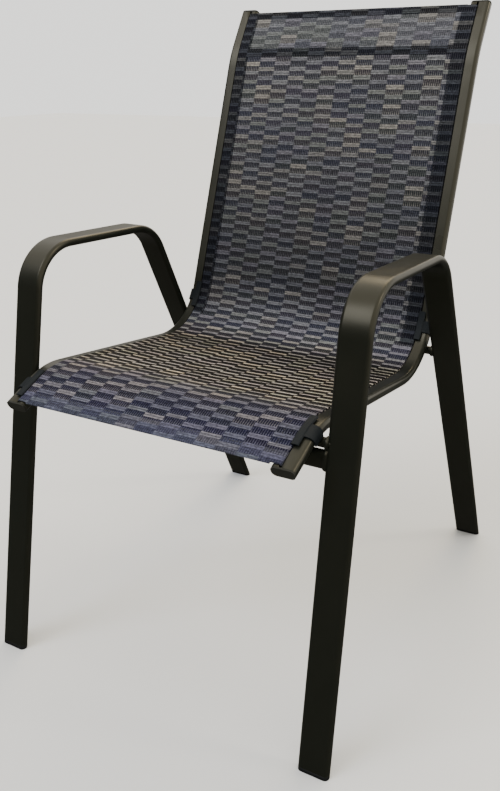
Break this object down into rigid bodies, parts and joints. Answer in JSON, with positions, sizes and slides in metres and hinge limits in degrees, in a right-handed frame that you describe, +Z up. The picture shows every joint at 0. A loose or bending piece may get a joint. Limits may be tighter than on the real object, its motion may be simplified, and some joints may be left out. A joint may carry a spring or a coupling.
{
  "type": "sling patio chair",
  "caption": "Stacking patio chair: mesh sling held in two slotted, bent rails, between flat tube side frames that form legs and arms, with cross members and glides.",
  "frame": {"origin": "on the floor, under the middle of the chair", "axes": "+X to the right as seen from the front, +Y to the chair's back, +Z up; left and right in the node names are as seen from the front"},
  "size_m": [0.563, 0.673, 0.9279],
  "materials": {
    "coated_steel": "dark bronze powder coat, semi-gloss",
    "coated_rail": "dark bronze powder coat, semi-gloss",
    "mesh": "open woven coated yarn, navy and taupe blocks",
    "spline": "extruded cord",
    "plug": "moulded, satin",
    "glide": "moulded, satin",
    "clip": "moulded, satin"
  },
  "bodies": {
    "root": {"left_side_frame": "coated_steel", "right_side_frame": "coated_steel", "front_crossbar": "coated_steel", "rear_crossbar": "coated_steel", "left_front_stub": "coated_steel", "right_front_stub": "coated_steel", "back_spreader": "coated_steel", "left_sling_rail": "coated_rail", "right_sling_rail": "coated_rail", "left_front_rail_plug": "plug", "right_front_rail_plug": "plug", "left_top_rail_plug": "plug", "right_top_rail_plug": "plug", "left_front_glide": "glide", "right_front_glide": "glide", "left_rear_glide": "glide", "right_rear_glide": "glide", "left_front_rail_clip": "clip", "right_front_rail_clip": "clip", "left_rear_rail_clip": "clip", "right_rear_rail_clip": "clip", "left_sling_spline": "spline", "right_sling_spline": "spline", "sling": "mesh"}
  },
  "joints": []
}
